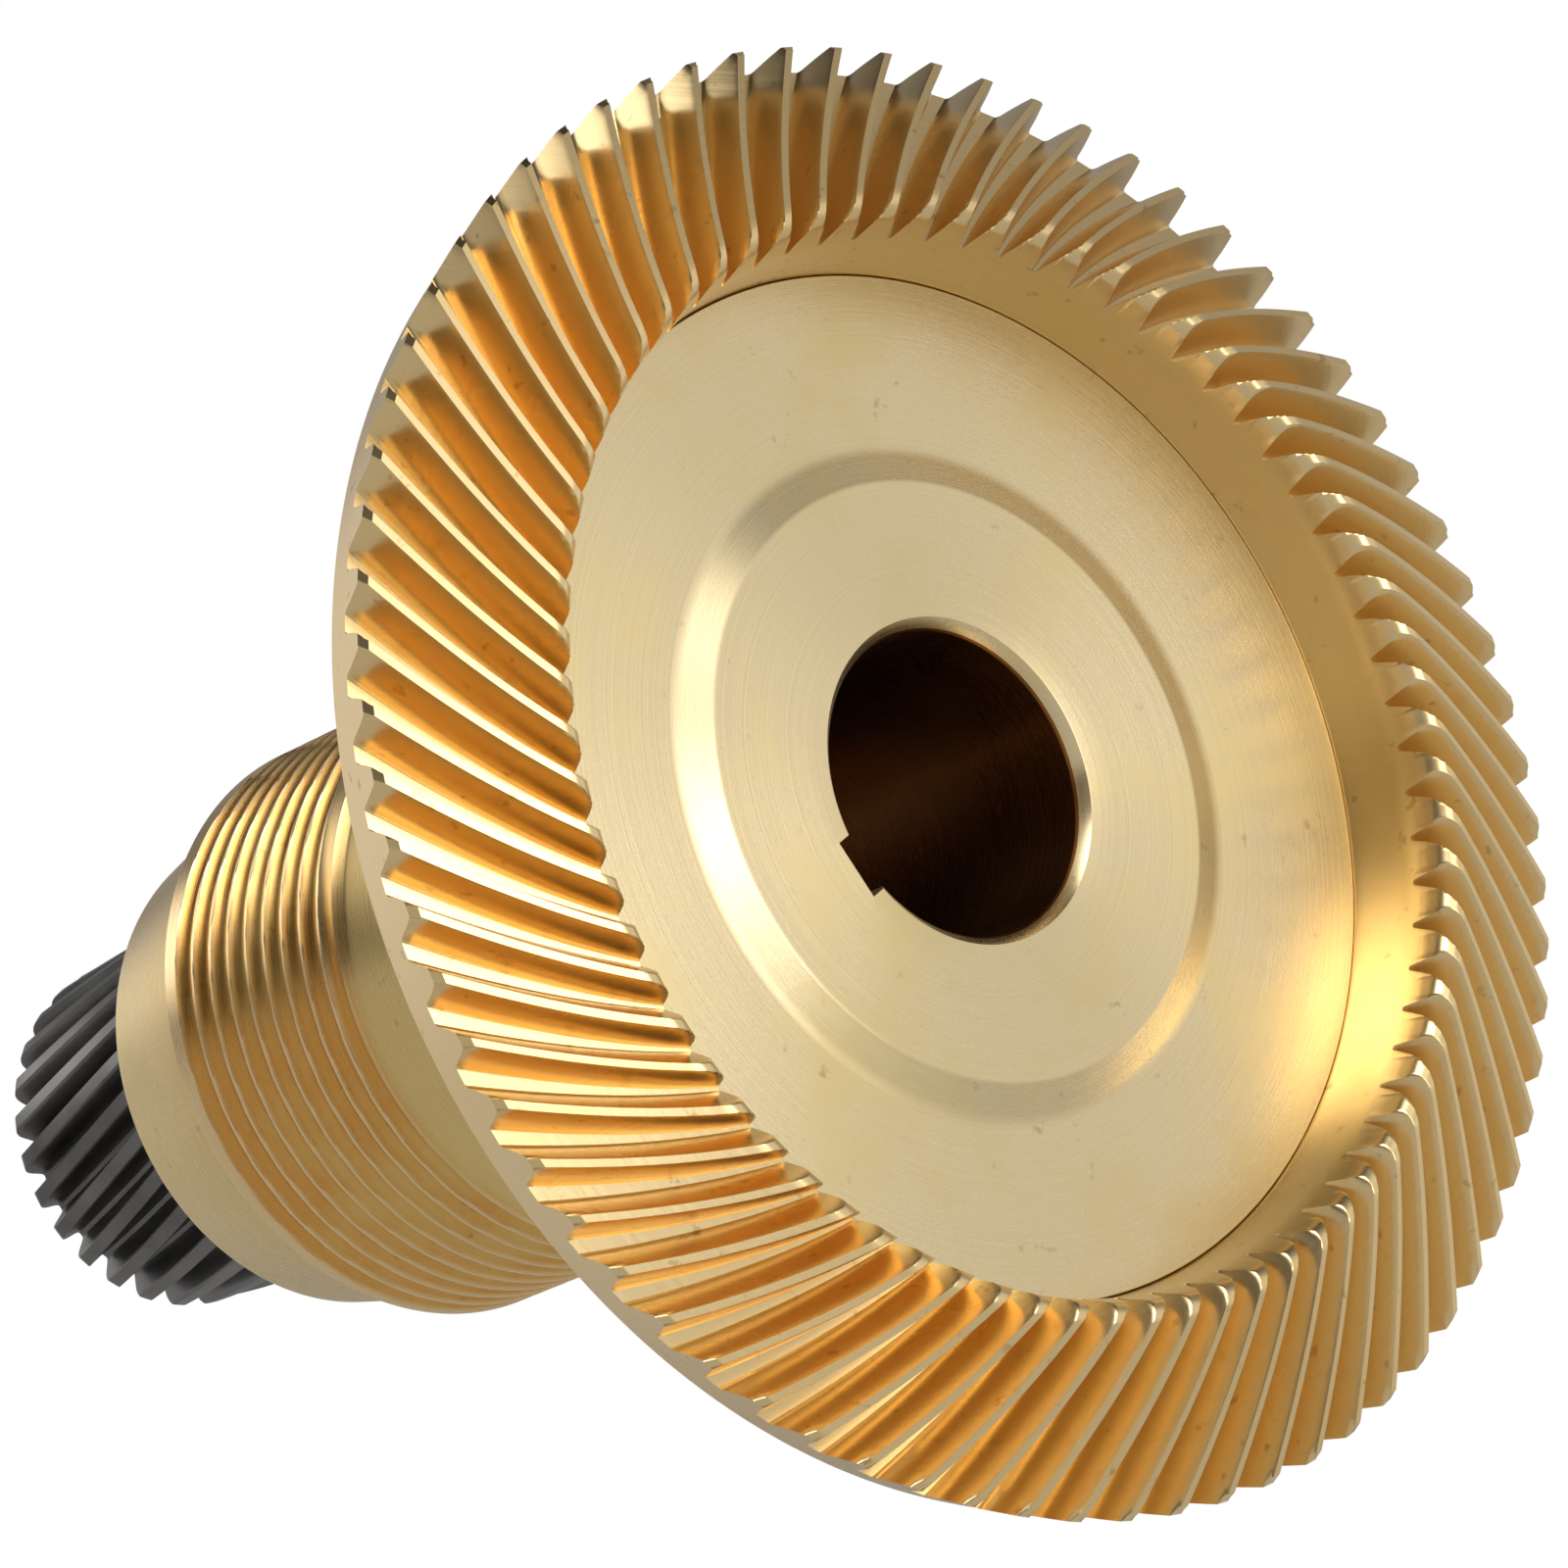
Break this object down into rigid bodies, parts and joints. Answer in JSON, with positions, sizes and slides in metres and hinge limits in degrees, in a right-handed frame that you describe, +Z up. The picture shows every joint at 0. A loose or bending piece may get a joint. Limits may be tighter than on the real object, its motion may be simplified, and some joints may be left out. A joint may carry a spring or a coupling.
{
  "type": "worm gear set",
  "caption": "Bronze face-toothed crown gear shrunk on a keyed, threaded hub, with a coaxial steel helical pinion turning in bushes behind it.",
  "frame": {"origin": "centre of the bore where it meets the front face of the boss", "axes": "-Y is the direction the gear's front faces, +Y runs back along the shaft axis through the hub to the pinion, +Z is up"},
  "size_m": [0.1928, 0.2011, 0.1928],
  "materials": {
    "crown_bronze": "machined, golden, bright edges",
    "hub_bronze": "fine turned, pale gold",
    "bush_bronze": "oiled bearing bronze",
    "ground_steel": "ground steel",
    "pinion_steel": "dark hardened steel",
    "black_steel": "blackened steel"
  },
  "bodies": {
    "crown_gear": {"crown_gear_ring": "crown_bronze", "threaded_hub": "hub_bronze", "front_bush": "bush_bronze", "rear_bush": "bush_bronze", "rear_thrust_washer": "ground_steel"},
    "pinion_shaft": {"pinion_spindle": "ground_steel", "pinion_key": "ground_steel", "helical_pinion": "pinion_steel", "pinion_end_washer": "black_steel", "pinion_screw": "black_steel", "retaining_ring": "black_steel", "front_thrust_washer": "ground_steel"}
  },
  "joints": [
    {"name": "pinion_spin", "type": "hinge", "parent": "crown_gear", "child": "pinion_shaft", "pos_m": [0, 0.1, 0], "axis": [0, 1, 0], "continuous": true}
  ]
}
